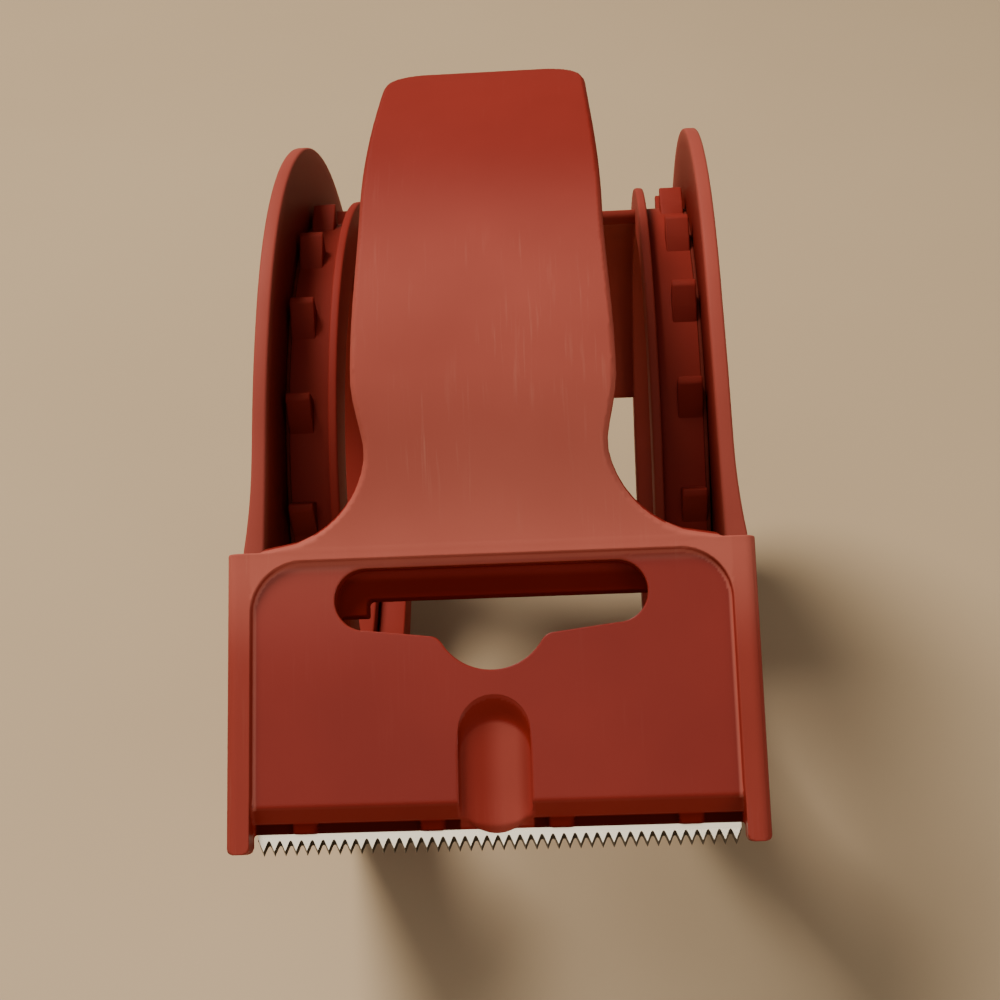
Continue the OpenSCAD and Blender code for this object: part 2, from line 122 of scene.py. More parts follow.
def ramp(tree, fac, stops):
    """A colour ramp through (place, colour) stops."""
    made = add(tree, "ShaderNodeValToRGB", Fac=fac)
    first, last = made.color_ramp.elements
    first.position, first.color = stops[0]
    last.position, last.color = stops[-1]
    for place, colour in stops[1:-1]:
        made.color_ramp.elements.new(place).color = colour
    return made.outputs["Color"]


def times(tree, a, b):
    """The product of two values, each a number or a socket."""
    made = tree.nodes.new("ShaderNodeMath")
    made.operation = "MULTIPLY"
    for socket, value in zip(made.inputs, (a, b)):
        feed(tree, value, socket)
    return made.outputs[0]


def mix_colour(tree, fac, a, b):
    """Colour a where fac is 0 and colour b where it is 1."""
    made = tree.nodes.new("ShaderNodeMix")
    made.data_type = "RGBA"
    for socket, value in ((made.inputs["Factor"], fac), (made.inputs[6], a), (made.inputs[7], b)):
        feed(tree, value, socket)
    return made.outputs[2]


def grey(v):
    return (v, v, v, 1)


print("wiring helpers ready")


# %% Helpers: layers of a finish
def new_material(name):
    material = bpy.data.materials.new(name)
    material.use_nodes = True
    tree = material.node_tree
    return material, tree, tree.nodes["Principled BSDF"]


def object_place(tree):
    return add(tree, "ShaderNodeTexCoord").outputs["Object"]


def noise(tree, place, scale, detail):
    return add(tree, "ShaderNodeTexNoise", Vector=place, Scale=scale, Detail=detail).outputs["Fac"]


def stretched(tree, place, scale, turn=0.0):
    """The place scaled by axis, so that a noise over it turns into lines."""
    made = add(tree, "ShaderNodeMapping", Vector=place, Rotation=(0, 0, turn), Scale=scale)
    return made.outputs["Vector"]


def mask(tree, name):
    """The value of an attribute that the mesh carries."""
    made = tree.nodes.new("ShaderNodeAttribute")
    made.attribute_name = name
    return made.outputs["Fac"]


def add_bump(tree, shader, height, strength, distance):
    bump = add(tree, "ShaderNodeBump", Strength=strength, Distance=distance, Height=height)
    tree.links.new(bump.outputs["Normal"], shader.inputs["Normal"])


print("layer helpers ready")

# %% [markdown]
# ## Red plastic
# The body is moulded in one red plastic. In the photo it isn't one colour: hand wear has left the
# handle paler and duller, the sunk panel is darker and shinier, and fine pale scuffs run along the
# handle. A plain colour with a roughness would look like paint, so the colour is built up: a slow
# noise for the batch's unevenness, a stretched noise for the scuffs, and a point attribute for wear
# and painted light that each mesh carries (1 on rubbed places, 0 in the sheltered ones); besides
# hand wear it also holds painted light and painted highlights, which make places paler. A second one
# paints shade: it darkens the wall under the lip, the tabs, the slot's inside and the arms' inner
# faces beside the drums. A third, "gloss", keeps the sunk panel shiny while the rest is satin. A very
# fine bump stands for the mould's texture.

# %% Red plastic
FRESH_RED = [(0.3, (0.180, 0.0100, 0.0062, 1)), (0.7, (0.210, 0.0130, 0.0082, 1))]
PALE_RED = [(0.3, (0.380, 0.089, 0.067, 1)), (0.7, (0.425, 0.106, 0.080, 1))]
# The second colour on the next line is painted shade.
SCUFF_PALE, PAINTED_SHADE_DARK = (0.55, 0.25, 0.19, 1), (0.020, 0.002, 0.001, 1)
SCUFFS = ((0.06, 2600.0, 0.22), (-0.10, 1500.0, 0.13))
CLOUD_SCALE, PATCH_SCALE, SCUFF_SCALE, GRAIN_SCALE = 55.0, 75.0, 120.0, 2600.0
ROUGH_BY_GLOSS = [(0, grey(0.64)), (1, grey(0.36))]
SHINE_BY_GLOSS = [(0, grey(0.10)), (1, grey(0.18))]
CLEAN_BY_SHADE = [(0.0, grey(1)), (0.4, grey(0))]


def add_scuffs(tree, place, wear_and_light, body):
    """Pale lines in two directions, in patches of the worn places."""
    patches = ramp(tree, noise(tree, place, PATCH_SCALE, 1.0), [(0.44, grey(0)), (0.62, grey(1))])
    here = times(tree, patches, wear_and_light)
    for turn, thin, strength in SCUFFS:
        streaks = noise(tree, stretched(tree, place, (thin, SCUFF_SCALE, SCUFF_SCALE), turn), 1.0, 3.0)
        lines = ramp(tree, streaks, [(0.60, grey(0)), (0.74, grey(1))])
        body = mix_colour(tree, times(tree, times(tree, lines, here), strength), body, SCUFF_PALE)
    return body


def make_red(name, scuffed):
    material, tree, shader = new_material(name)
    place = object_place(tree)
    wear_and_light, painted_shade, gloss = (mask(tree, layer) for layer in ("wear_and_light", "painted_shade", "gloss"))
    clouds = noise(tree, place, CLOUD_SCALE, 3.0)
    # Fresh red turns pale red by the first mask: hand wear, and painted light and highlights where it is
    # set for them.
    body = mix_colour(tree, wear_and_light, ramp(tree, clouds, FRESH_RED), ramp(tree, clouds, PALE_RED))
    if scuffed:
        body = add_scuffs(tree, place, wear_and_light, body)
    # Painted shade: the second mask darkens the colour and takes away the shine.
    body = mix_colour(tree, painted_shade, body, PAINTED_SHADE_DARK)
    tree.links.new(body, shader.inputs["Base Color"])
    tree.links.new(ramp(tree, gloss, ROUGH_BY_GLOSS), shader.inputs["Roughness"])
    shine = times(tree, ramp(tree, painted_shade, CLEAN_BY_SHADE), ramp(tree, gloss, SHINE_BY_GLOSS))
    tree.links.new(shine, shader.inputs["Specular IOR Level"])
    add_bump(tree, shader, noise(tree, place, GRAIN_SCALE, 2.0), 0.12, 0.00006)
    return material


RED = make_red("red_plastic", False)
RED_RUBBED = make_red("red_plastic_rubbed", True)
print("made", RED.name, "and", RED_RUBBED.name)

# %% [markdown]
# ## Steel and fibre
# The blade is a stamped strip: bright, with fine rolling lines along it. Its ground tooth facets,
# which a face attribute "ground" marks, are painted dark: painted shade for the dark surroundings they
# reflect. The hinge pins and screws are plain wire steel. The washers are pressed from dark fibre
# board; only their edge shows, in the narrow gap between drum and arm, so a dull finish with a fine
# noise is enough.

# %% Steel and fibre
# Painted shade for the ground tooth facets.
FACET_PAINTED_SHADE = (0.07, 0.06, 0.05, 1)
FIBRE_TONES = [(0.3, (0.110, 0.016, 0.011, 1)), (0.7, (0.150, 0.022, 0.015, 1))]


def make_steel(name, colour, line_scale, smooth, rough):
    material, tree, shader = new_material(name)
    lines = noise(tree, stretched(tree, object_place(tree), line_scale), 1.0, 3.0)
    dark = tuple(0.8 * v for v in colour)
    plain = ramp(tree, lines, [(0.3, dark + (1,)), (0.7, colour + (1,))])
    tree.links.new(mix_colour(tree, mask(tree, "ground"), plain, FACET_PAINTED_SHADE), shader.inputs["Base Color"])
    tree.links.new(ramp(tree, lines, [(0.3, grey(smooth)), (0.7, grey(rough))]), shader.inputs["Roughness"])
    shader.inputs["Metallic"].default_value = 1.0
    add_bump(tree, shader, lines, 0.15, 0.00004)
    return material


def make_fibre(name):
    material, tree, shader = new_material(name)
    flecks = noise(tree, object_place(tree), 900.0, 3.0)
    tree.links.new(ramp(tree, flecks, FIBRE_TONES), shader.inputs["Base Color"])
    shader.inputs["Roughness"].default_value = 0.7
    shader.inputs["Specular IOR Level"].default_value = 0.05
    return material


BLADE_STEEL = make_steel("blade_steel", (0.97, 0.90, 0.75), (60.0, 2500.0, 2500.0), 0.24, 0.36)
PIN_STEEL = make_steel("pin_steel", (0.40, 0.39, 0.38), (900.0, 900.0, 900.0), 0.42, 0.55)
FIBRE = make_fibre("fibre")
print("made", BLADE_STEEL.name, PIN_STEEL.name, FIBRE.name)

# %% [markdown]
# ## Front frame
# The plate, its ears, the handle and the hinge lugs are one moulding, with soft edges everywhere. A
# bevel on every edge of the solid would break up where the handle, the fillets and the slot meet.
# Instead the solid is copied and remeshed in small voxels, which gives an even skin, and that skin is
# relaxed a little: every sharp edge then gets the small round that a mould leaves. The copy is turned
# into the plate's own frame first, so that the voxels line up with the plate and its edges stay
# straight.

# %% Helpers: pieces and their points
def link_mesh(name, mesh):
    piece = bpy.data.objects.new(name, mesh)
    bpy.context.scene.collection.objects.link(piece)
    return piece


def finish_piece(piece, body, slot, material, *nodes):
    """Puts a new piece on its body, in place of the named nodes."""
    piece.data.materials.clear()
    piece.data.materials.append(material)
    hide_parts(*nodes)
    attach(piece, body)


def points_of(piece):
    flat = np.empty(len(piece.data.vertices) * 3)
    piece.data.vertices.foreach_get("co", flat)
    return flat.reshape(-1, 3)


def set_points(piece, points):
    piece.data.vertices.foreach_set("co", points.ravel())
    piece.data.update()


def set_mask(piece, name, values):
    layer = piece.data.attributes.new(name, "FLOAT", "POINT")
    layer.data.foreach_set("value", np.clip(values, 0, 1).astype(np.float32))


def smooth_step(low, high, values):
    """0 up to low, 1 from high on and a smooth rise between; high may be the smaller one."""
    t = np.clip((values - low) / (high - low), 0, 1)
    return t * t * (3 - 2 * t)


print("piece helpers ready")


# %% Helpers: a soft skin in the plate's frame
TO_PLATE, FROM_PLATE = np.array(PLATE_FRAME.inverted()), np.array(PLATE_FRAME)


def voxel_skin(name, node, voxel):
    """A new object with the node's solid remeshed in even voxels that line up with the plate."""
    rough = link_mesh(name + "_rough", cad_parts[node].data.copy())
    rough.data.transform(PLATE_FRAME.inverted())
    remesh = rough.modifiers.new("voxels", "REMESH")
    remesh.mode = "VOXEL"
    remesh.voxel_size = voxel * MM
    depsgraph = bpy.context.evaluated_depsgraph_get()
    mesh = bpy.data.meshes.new_from_object(rough.evaluated_get(depsgraph))
    bpy.data.objects.remove(rough)
    mesh.transform(PLATE_FRAME)
    return link_mesh(name, mesh)


def relax(piece, rounds, pull):
    """Moves each point towards the middle of its neighbours and a little back, which rounds edges."""
    edges = np.empty(len(piece.data.edges) * 2, dtype=np.int64)
    piece.data.edges.foreach_get("vertices", edges)
    a, b = edges.reshape(-1, 2).T
    points = points_of(piece)
    count = np.bincount(np.r_[a, b], minlength=len(points))[:, None]
    for _ in range(rounds):
        for way in (pull, -pull * 1.02):
            total = np.zeros_like(points)
            np.add.at(total, a, points[b])
            np.add.at(total, b, points[a])
            points += way * (total / count - points)
    set_points(piece, points)


def in_plate(points):
    """Points in metres as points of the plate's frame, in millimetres."""
    return (points @ TO_PLATE[:3, :3].T + TO_PLATE[:3, 3]) / MM


def put_plate_points(piece, points):
    set_points(piece, (points * MM) @ FROM_PLATE[:3, :3].T + FROM_PLATE[:3, 3])


print("skin helpers ready")

# %% Front frame: soft skin
VOXEL, RELAX_ROUNDS, RELAX_PULL = 0.2, 4, 0.5
front = voxel_skin("front_moulding", "front_frame", VOXEL)
relax(front, RELAX_ROUNDS, RELAX_PULL)
print("front moulding:", len(front.data.vertices), "points")

# %% [markdown]
# ### Thumb scoop
# The scoop starts with a slope that faces the blade, which looks dark in the photo, and only then runs
# level. Its floor is hollow like a gutter, and its round nose slopes away over the blade. The solid has
# a plain pocket there. Cutting a new scoop would break the even skin, so the pocket's own points move:
# its floor is lifted along its upper end, hollowed along the middle and thinned towards the nose's rim.

# %% Front frame: thumb scoop
SCOOP_R, SCOOP_TOP, SCOOP_SLOPE, SCOOP_DEEP = 3.75, 15.6, 2.6, 1.0
HOLLOW, NOSE_L, NOSE_SLOPE, NOSE_FALL = 0.45, 1.5, 1.1, 0.7
NOSE_DROP, NOSE_BOW = 0.55, 0.8
local = in_plate(points_of(front))
x, y, z = local.T
bow = (x / SCOOP_R) ** 2
inside = (np.abs(x) < SCOOP_R + 0.2) & (y > LIP_RISE - NOSE_L - 0.2) & (y < SCOOP_TOP + 0.3)
pocket = inside & (z < -PANEL_SINK) & (z > -PLATE_T + 0.5)
arch = SCOOP_TOP - SCOOP_R + np.sqrt(np.maximum(SCOOP_R ** 2 - x ** 2, 0))
depth = smooth_step(-0.1, 1.0, (arch - y) / SCOOP_SLOPE)
z[pocket] = -PANEL_SINK + ((z + PANEL_SINK) * depth)[pocket]
gutter = np.clip(1 - bow, 0, 1) * np.clip((-PANEL_SINK - z) / SCOOP_DEEP, 0, 1)
z[pocket] -= HOLLOW * gutter[pocket]
nose_rim = LIP_RISE - NOSE_DROP + NOSE_BOW * bow
nose = inside & (y < nose_rim) & (z > -PLATE_T)
fall = NOSE_FALL * smooth_step(0, NOSE_SLOPE, nose_rim - y)
z[nose] = -PLATE_T + ((z + PLATE_T) * (1 - fall))[nose]
put_plate_points(front, local)
print("scoop points:", int(pocket.sum()), "on its nose:", int(nose.sum()))

# %% [markdown]
# ### Handle
# The handle is a strap bent on one arc about the roll's axis. Its solid is made of short straight
# steps, and its skin is set back on the true arc. At its foot the arc meets the plate in a shallow
# crease. There the face follows one smooth curve instead, level with the border at its start and in
# line with the arc at its end.

# %% Front frame: true handle arc
HANDLE_R, HANDLE_T, HANDLE_END_TURN, STEP_ERROR = 55.8, 2.6, 149, 0.12
points = points_of(front) / MM
off_y, off_z = points[:, 1] - HUB_Y, points[:, 2] - HUB_Z
radius, handle_turn = np.hypot(off_y, off_z), np.degrees(np.arctan2(off_z, off_y))
on_handle = handle_turn < HANDLE_END_TURN
for true_r in (HANDLE_R, HANDLE_R - HANDLE_T):
    near = on_handle & (np.abs(radius - true_r) < STEP_ERROR)
    points[near, 1] = HUB_Y + (off_y * true_r / radius)[near]
    points[near, 2] = HUB_Z + (off_z * true_r / radius)[near]
set_points(front, points * MM)
print("handle points:", int(on_handle.sum()))

# %% Front frame: foot of the handle
FOOT_LOW, FOOT_HIGH = PLATE_L - 1.0, PLATE_L + 18.0
axis = (PLATE_FRAME.inverted() @ around_axis(0, 0, 0)) / MM


def arc_height(y):
    """Height of the handle's outer arc over the plate's face, y up the plate."""
    return axis.z + np.sqrt(np.maximum(HANDLE_R ** 2 - (y - axis.y) ** 2, 0))


local = in_plate(points_of(front))
x, y, z = local.T
face = np.maximum(arc_height(y), 0)
span = FOOT_HIGH - FOOT_LOW
t = (y - FOOT_LOW) / span
end_slope = (axis.y - FOOT_HIGH) / (arc_height(FOOT_HIGH) - axis.z)
eased = arc_height(FOOT_HIGH) * t * t * (3 - 2 * t) + end_slope * span * t * t * (t - 1)
foot = (t > 0) & (t < 1)
z[foot] += ((eased - face) * smooth_step(-1.8, -0.3, z - face))[foot]
put_plate_points(front, local)
print("points on the handle's foot:", int(foot.sum()))

# %% [markdown]
# ### Slot rim and panel edge
# The voxels leave small steps along the slot's sloping edges and soften the panel's edge. Finer voxels
# would make the mesh very heavy, but both lines are known: the slot's rim is read from the solid, and
# the panel is a rounded rectangle. Points close to such a line are drawn towards it, the closest most,
# so the edge is clean and crisp again. The panel's wall also gets a slight slope, as a mould needs.

# %% Front frame: clean slot rim
SLOT_X, SLOT_LOW, SLOT_HIGH, SLOT_MID = 16.6, 17, 29.5, 25.4
NEAR_X, NEAR_LOW, NEAR_HIGH = 18, 16.5, 30.8
RIM_STEP, RIM_SQUEEZE, RIM_REACH = 0.06, 0.2, 1.0


def slot_rim():
    """Closely spaced points along the slot's rim on the panel, in the plate's frame."""
    flat = in_plate(np.array([v.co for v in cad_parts["front_frame"].data.vertices]))
    on_panel = np.abs(flat[:, 2] + PANEL_SINK) < 0.02
    by_slot = (np.abs(flat[:, 0]) < SLOT_X) & (flat[:, 1] > SLOT_LOW) & (flat[:, 1] < SLOT_HIGH)
    rim = flat[on_panel & by_slot, :2]
    rim = rim[np.argsort(np.arctan2(rim[:, 1] - SLOT_MID, rim[:, 0]))]
    spread = []
    for a, b in zip(rim, np.roll(rim, -1, axis=0)):
        count = max(1, int(np.hypot(*(b - a)) / RIM_STEP))
        spread.extend(a + (b - a) * k / count for k in range(count))
    return np.array(spread)


rim_points = slot_rim()
rim_tree = KDTree(len(rim_points))
for i, (rim_x, rim_y) in enumerate(rim_points):
    rim_tree.insert((rim_x, rim_y, 0), i)
rim_tree.balance()

moved = in_plate(points_of(front))
x, y, z = moved.T
by_slot = (np.abs(x) < NEAR_X) & (y > NEAR_LOW) & (y < NEAR_HIGH)
close = np.flatnonzero(by_slot & (z > -PLATE_T - 0.1))
found = [rim_tree.find((*moved[i, :2], 0)) for i in close]
gaps = np.array([hit[2] for hit in found])
on_rim = rim_points[[hit[1] for hit in found]]
kept_gap = RIM_SQUEEZE + (1 - RIM_SQUEEZE) * smooth_step(0.1, RIM_REACH, gaps)
moved[close, :2] = on_rim + (moved[close, :2] - on_rim) * kept_gap[:, None]
print("points by the slot's rim:", len(close))

# %% Front frame: crisp panel edge
PANEL_X, PANEL_TOP, PANEL_R, DRAFT = PLATE_W / 2 - EAR_W, PLATE_L - 1.0, 5.5, 0.25
EDGE_SQUEEZE, EDGE_REACH, EDGE_DEEP, EDGE_START, EDGE_FULL = 0.25, 1.0, -1.0, 4, 6
across, upward = np.abs(x) - PANEL_X + PANEL_R, y - PANEL_TOP + PANEL_R
in_corner = (across > 0) & (upward > 0)
inward = np.where(in_corner, np.hypot(across, upward), np.maximum(across, upward))
way_x = np.where(in_corner, across / np.maximum(inward, 0.1), across > upward)
way_y = np.where(in_corner, upward / np.maximum(inward, 0.1), across <= upward)
inset = PANEL_R - inward
edge = (np.abs(inset) < EDGE_REACH) & (z > EDGE_DEEP) & (y > EDGE_START) & ~on_handle
squeezed = inset * (EDGE_SQUEEZE + (1 - EDGE_SQUEEZE) * smooth_step(0.1, EDGE_REACH, np.abs(inset)))
slope_run = DRAFT * np.clip(-z / PANEL_SINK, 0, 1) * smooth_step(EDGE_REACH, 0.2, inset)
run = (squeezed + slope_run - inset) * smooth_step(EDGE_START, EDGE_FULL, y)
x[edge] -= (np.sign(x) * way_x * run)[edge]
y[edge] -= (way_y * run)[edge]
print("points by the panel's edge:", int(edge.sum()))

# %% [markdown]
# ### Lip and ears
# Under the lip the wall is set back a little, so that the four tabs stand out from it. The ears' outer
# edges are rounded more than the rest of the moulding. More relaxing would soften everything, so there
# the square corner is drawn in to a quarter circle.

# %% Front frame: lip and ears
SKIRT_Z, SKIRT_X, SKIRT_LOW, SKIRT_FRONT = -2.55, 25.2, 1.6, -1.8
TAB_PITCH, TAB_HALF, EAR_ROUND = 13.3, 1.3, 1.2


def under_lip(x, y):
    """Which points lie under the lip, on either side of the scoop."""
    return (np.abs(x) < SKIRT_X) & (np.abs(x) > SCOOP_R) & (y < LIP_RISE - 0.05)


from_tab = np.abs(np.abs(x) % TAB_PITCH - TAB_PITCH / 2)
skirt = under_lip(x, y) & (from_tab > TAB_HALF) & (y > SKIRT_LOW) & (z < SKIRT_FRONT)
z[skirt] = np.minimum(z[skirt], SKIRT_Z)

u, v = (np.abs(x) - PLATE_W / 2) / EAR_ROUND + 1, z / EAR_ROUND + 1
corner = (u > 0) & (v > 0) & (y < PLATE_L + 0.5) & ~on_handle
pull = np.maximum(u, v)[corner] / np.hypot(u, v)[corner]
x[corner] = np.sign(x[corner]) * (PLATE_W / 2 + (u[corner] * pull - 1) * EAR_ROUND)
z[corner] = (v[corner] * pull - 1) * EAR_ROUND
put_plate_points(front, moved)
print("points under the lip:", int(skirt.sum()), "on the ears:", int(corner.sum()))

# %% [markdown]
# ### Wear, painted light and painted shade
# Where hands rub, the red turns pale and dull: along the handle from the plate to past the middle, on
# the border, on the ears and a little in the scoop. The same pale mask also paints light: more of it
# towards the handle's foot, a painted sheen on the panel's upper left, painted light on the strip over
# the slot, a painted highlight just inside the panel's edge and one on the scoop's floor. The sunk panel
# keeps its shine, and the wall under the lip, the tabs and the lower inside of the slot are darkened
# with painted shade. Painting this by hand wouldn't survive a change of shape, so each mask is worked
# out from where a point lies.

# %% Front frame: wear and painted light
LEAST_WEAR, GRIP_WEAR, FOOT_WEAR_AND_LIGHT, EDGE_HIGHLIGHT = 0.08, 0.56, 0.36, 0.8
EAR_WEAR, EAR_TOP_WEAR, UPPER_LEFT_SHEEN, OVER_SLOT_LIGHT = 0.3, 0.6, 0.22, 0.4
SCOOP_WEAR, SCOOP_HIGHLIGHT = 0.12, 0.3
GRIP_START, GRIP_FULL, FOOT_FULL, HANDLE_SKIN = 100, 126, 150, 0.7
LINE_IN, LINE_HALF = 0.12, 0.15
local = in_plate(points_of(front))
x, y, z = local.T
on_plate = ~on_handle
on_ear = (np.abs(x) >= PANEL_X - 0.1) & on_plate
sunk = (z < -0.25) & (inset > -0.1) & on_plate
deep = z < -PANEL_SINK - 0.2
scooped = pocket & deep
# A painted highlight just inside the panel's edge.
edge_highlight_line = edge & (np.abs(inset + run - DRAFT - LINE_IN) < LINE_HALF)
# A painted sheen on the panel's upper left.
upper_left_sheen = smooth_step(17, 30, y) * smooth_step(12, -20, x)
# Painted light on the strip between the slot and the panel's top edge.
over_slot_light = smooth_step(28.8, 29.6, y)
# On the scoop's floor a little wear, and a painted highlight right of its middle.
scoop_wear_and_highlight = SCOOP_WEAR + SCOOP_HIGHLIGHT * smooth_step(-1.6, 1.0, x) * smooth_step(3.5, 2.0, x)
past_slope = smooth_step(0.1, -0.3, y - arch + SCOOP_SLOPE)

wear_and_light_values = LEAST_WEAR + GRIP_WEAR * smooth_step(GRIP_START, GRIP_FULL, handle_turn)
# Paler again towards the handle's foot: hand wear, and painted light for the light the foot gets from the
# front.
wear_and_light_values += FOOT_WEAR_AND_LIGHT * smooth_step(GRIP_FULL, FOOT_FULL, handle_turn)
wear_and_light_values[on_ear] = (EAR_WEAR + EAR_TOP_WEAR * smooth_step(18, 30, y))[on_ear]
# On the sunk panel: a painted sheen at the upper left and painted light over the slot.
wear_and_light_values[sunk] = (LEAST_WEAR + UPPER_LEFT_SHEEN * upper_left_sheen + OVER_SLOT_LIGHT * over_slot_light)[sunk]
# Painted highlight along the panel's edge.
wear_and_light_values[edge_highlight_line] = EDGE_HIGHLIGHT
wear_and_light_values[deep & on_plate] = 0
# Scoop floor: a little wear and a painted highlight.
wear_and_light_values[scooped] = (scoop_wear_and_highlight * past_slope)[scooped]
wear_and_light_values[on_handle & (radius < HANDLE_R - HANDLE_SKIN)] = 0
set_mask(front, "wear_and_light", wear_and_light_values)
print("mean wear:", round(float(wear_and_light_values.mean()), 3))

# %% Front frame: painted shade and gloss
# Painted shade under the lip, on the tabs and on the lower inside of the slot.
SKIRT_SHADE, TAB_SHADE, SLOT_SHADE = 0.8, 0.5, 0.4
in_slot = (z < -PLATE_T + 0.3) & (y > 20) & on_plate
on_tab = ~skirt & under_lip(x, y)
slot_shade = SLOT_SHADE * smooth_step(28.9, 28.1, y) * in_slot
glossy = sunk & (z > -PLATE_T + 0.6) & ~scooped
set_mask(front, "painted_shade", np.where(skirt, SKIRT_SHADE, np.where(on_tab, TAB_SHADE, slot_shade)))
set_mask(front, "gloss", glossy.astype(float))
front.data.shade_smooth()
finish_piece(front, "frame", "red_plastic", RED_RUBBED, "front_frame")
print("glossy points:", int(glossy.sum()))

# %% [markdown]
# ## Turned pieces
# The drums, lip rings, retaining rings and washers are all round about the roll's axis. Each is drawn
# as a closed profile of (radius, x) points whose corners are rounded, and swept through a full turn.
# That is how a mould maker draws them, and it gives a clean net of four-sided faces, unlike a bevel on
# a triangulated solid.

# %% Helpers: round a profile's corners and sweep it
CRISP_R = 0.06


def round_corners(profile, radius, steps=3, crisp=()):
    """The closed profile with a small arc at each corner, a very small one at the crisp corners."""
    rounded = []
    count = len(profile)
    for i in range(count):
        before, here, after = (Vector(profile[(i + k) % count]) for k in (-1, 0, 1))
        to_before, to_after = before - here, after - here
        cut = min(CRISP_R if i in crisp else radius, 0.45 * to_before.length, 0.45 * to_after.length)
        start, end = here + to_before.normalized() * cut, here + to_after.normalized() * cut
        for k in range(steps + 1):
            t = k / steps
            rounded.append((1 - t) ** 2 * start + 2 * t * (1 - t) * here + t * t * end)
    return rounded


def join_loops(bm, a, b):
    """Four-sided faces between two closed loops of points."""
    for k in range(len(a)):
        n = (k + 1) % len(a)
        bm.faces.new((a[k], a[n], b[n], b[k]))


def sweep(bm, profile, start=0.0, turn=2 * math.pi, steps=144):
    """Sweeps a closed (radius, x) profile round the roll's axis; an open sweep gets end caps."""
    full = abs(turn - 2 * math.pi) < 1e-6
    rows = []
    for i in range(steps if full else steps + 1):
        angle = start + turn * i / steps
        rows.append([bm.verts.new(around_axis(p[1], p[0], angle)) for p in profile])
    for i in range(steps):
        join_loops(bm, rows[i], rows[(i + 1) % len(rows)])
    if not full:
        bm.faces.new(rows[0])
        bm.faces.new(rows[-1][::-1])


def piece_from(bm, name, wear_and_light=0.0):
    bmesh.ops.recalc_face_normals(bm, faces=bm.faces)
    mesh = bpy.data.meshes.new(name)
    bm.to_mesh(mesh)
    bm.free()
    piece = link_mesh(name, mesh)
    piece.data.shade_smooth()
    set_mask(piece, "wear_and_light", np.full(len(mesh.vertices), wear_and_light))
    return piece


def mirrored(profile, side):
    return [(r, side * x) for r, x in profile]


print("turning helpers ready")

# %% [markdown]
# ### Hubs
# A hub is a drum with a sleeve that runs through the arm. Beside the arm it carries a ring of short
# ribs, each a thin wall with a sloping back, which stop the core from sliding further. A rib is drawn
# as an outline round the axis, given its length along the axis, and bevelled by itself, because its
# five corners are all sharp.

# %% Hubs with their ribs
RIBS, RIB_START, RIB_RAMP = 18, math.radians(7), math.radians(6.7)
RIB_TIP, RIB_L, RIB_SUNK, RIB_ROUND = 0.9, 2.9, 0.6, 0.22
RIB_KNEE, RIB_KNEE_SHARE = 1.2, 0.45
# The drums and lip rings are made slightly paler than fresh red: painted light, for light that reaches in
# between the arms.
WEB_T, DRUM_ROUND, HUB_LIGHT = 1.8, 0.3, 0.1
HUB_PROFILE = [
    (DRUM_BORE_R, DRUM_IN), (DRUM_R, DRUM_IN), (DRUM_R, DRUM_OUT), (SLEEVE_R, DRUM_OUT),
    (SLEEVE_R, RING_OUT), (SLEEVE_BORE_R, RING_OUT),
    (SLEEVE_BORE_R, DRUM_OUT - WEB_T), (DRUM_BORE_R, DRUM_OUT - WEB_T),
]


def add_rib(bm, side, turn):
    """One stop rib: a thin wall across the drum with a sloping back, its edges rounded."""
    tip_turn = RIB_TIP / SEAT_R
    outline = [
        (DRUM_R - RIB_SUNK, 0), (SEAT_R, 0), (SEAT_R, tip_turn),
        (DRUM_R + RIB_KNEE, tip_turn + RIB_KNEE_SHARE * RIB_RAMP),
        (DRUM_R - RIB_SUNK, tip_turn + RIB_RAMP),
    ]
    inner, outer = (
        [bm.verts.new(around_axis(side * x, r, turn + t)) for r, t in outline]
        for x in (DRUM_OUT - RIB_L, DRUM_OUT)
    )
    made = [bm.faces.new(inner), bm.faces.new(outer[::-1])]
    for k in range(len(outline)):
        n = (k + 1) % len(outline)
        made.append(bm.faces.new((inner[k], outer[k], outer[n], inner[n])))
    edges = list({e for f in made for e in f.edges})
    bmesh.ops.bevel(bm, geom=edges, offset=RIB_ROUND * MM, segments=2, affect="EDGES", profile=0.6)


for name, side in SIDES:
    bm = bmesh.new()
    sweep(bm, round_corners(mirrored(HUB_PROFILE, side), DRUM_ROUND, crisp=(2,)))
    for i in range(RIBS):
        add_rib(bm, side, RIB_START + i * 2 * math.pi / RIBS)
    hub = piece_from(bm, name + "_drum", HUB_LIGHT)
    finish_piece(hub, name + "_hub", "red_plastic", RED, name + "_hub")
    print(hub.name, len(hub.data.vertices), "points")

# %% [markdown]
# ### Lip rings and core bridge
# Each drum ends in a thin lip that keeps the core square, held in the drum by a short spigot. On the
# right, a curved tongue grows from the lip and reaches across inside the core. It is the same sweep,
# cut to part of a turn.

# %% Lip rings and core bridge
SPIGOT_R, SPIGOT_BORE_R, SPIGOT_END = 32.85, 31.45, DRUM_IN + 2.8
LIP_PROFILE = [
    (SPIGOT_BORE_R, LIP_IN), (SEAT_R, LIP_IN), (SEAT_R, DRUM_IN),
    (SPIGOT_R, DRUM_IN), (SPIGOT_R, SPIGOT_END), (SPIGOT_BORE_R, SPIGOT_END),
]
TONGUE_T, TONGUE_ROOT, TONGUE_END = 1.8, LIP_IN + 0.4, 1.3 - LIP_IN
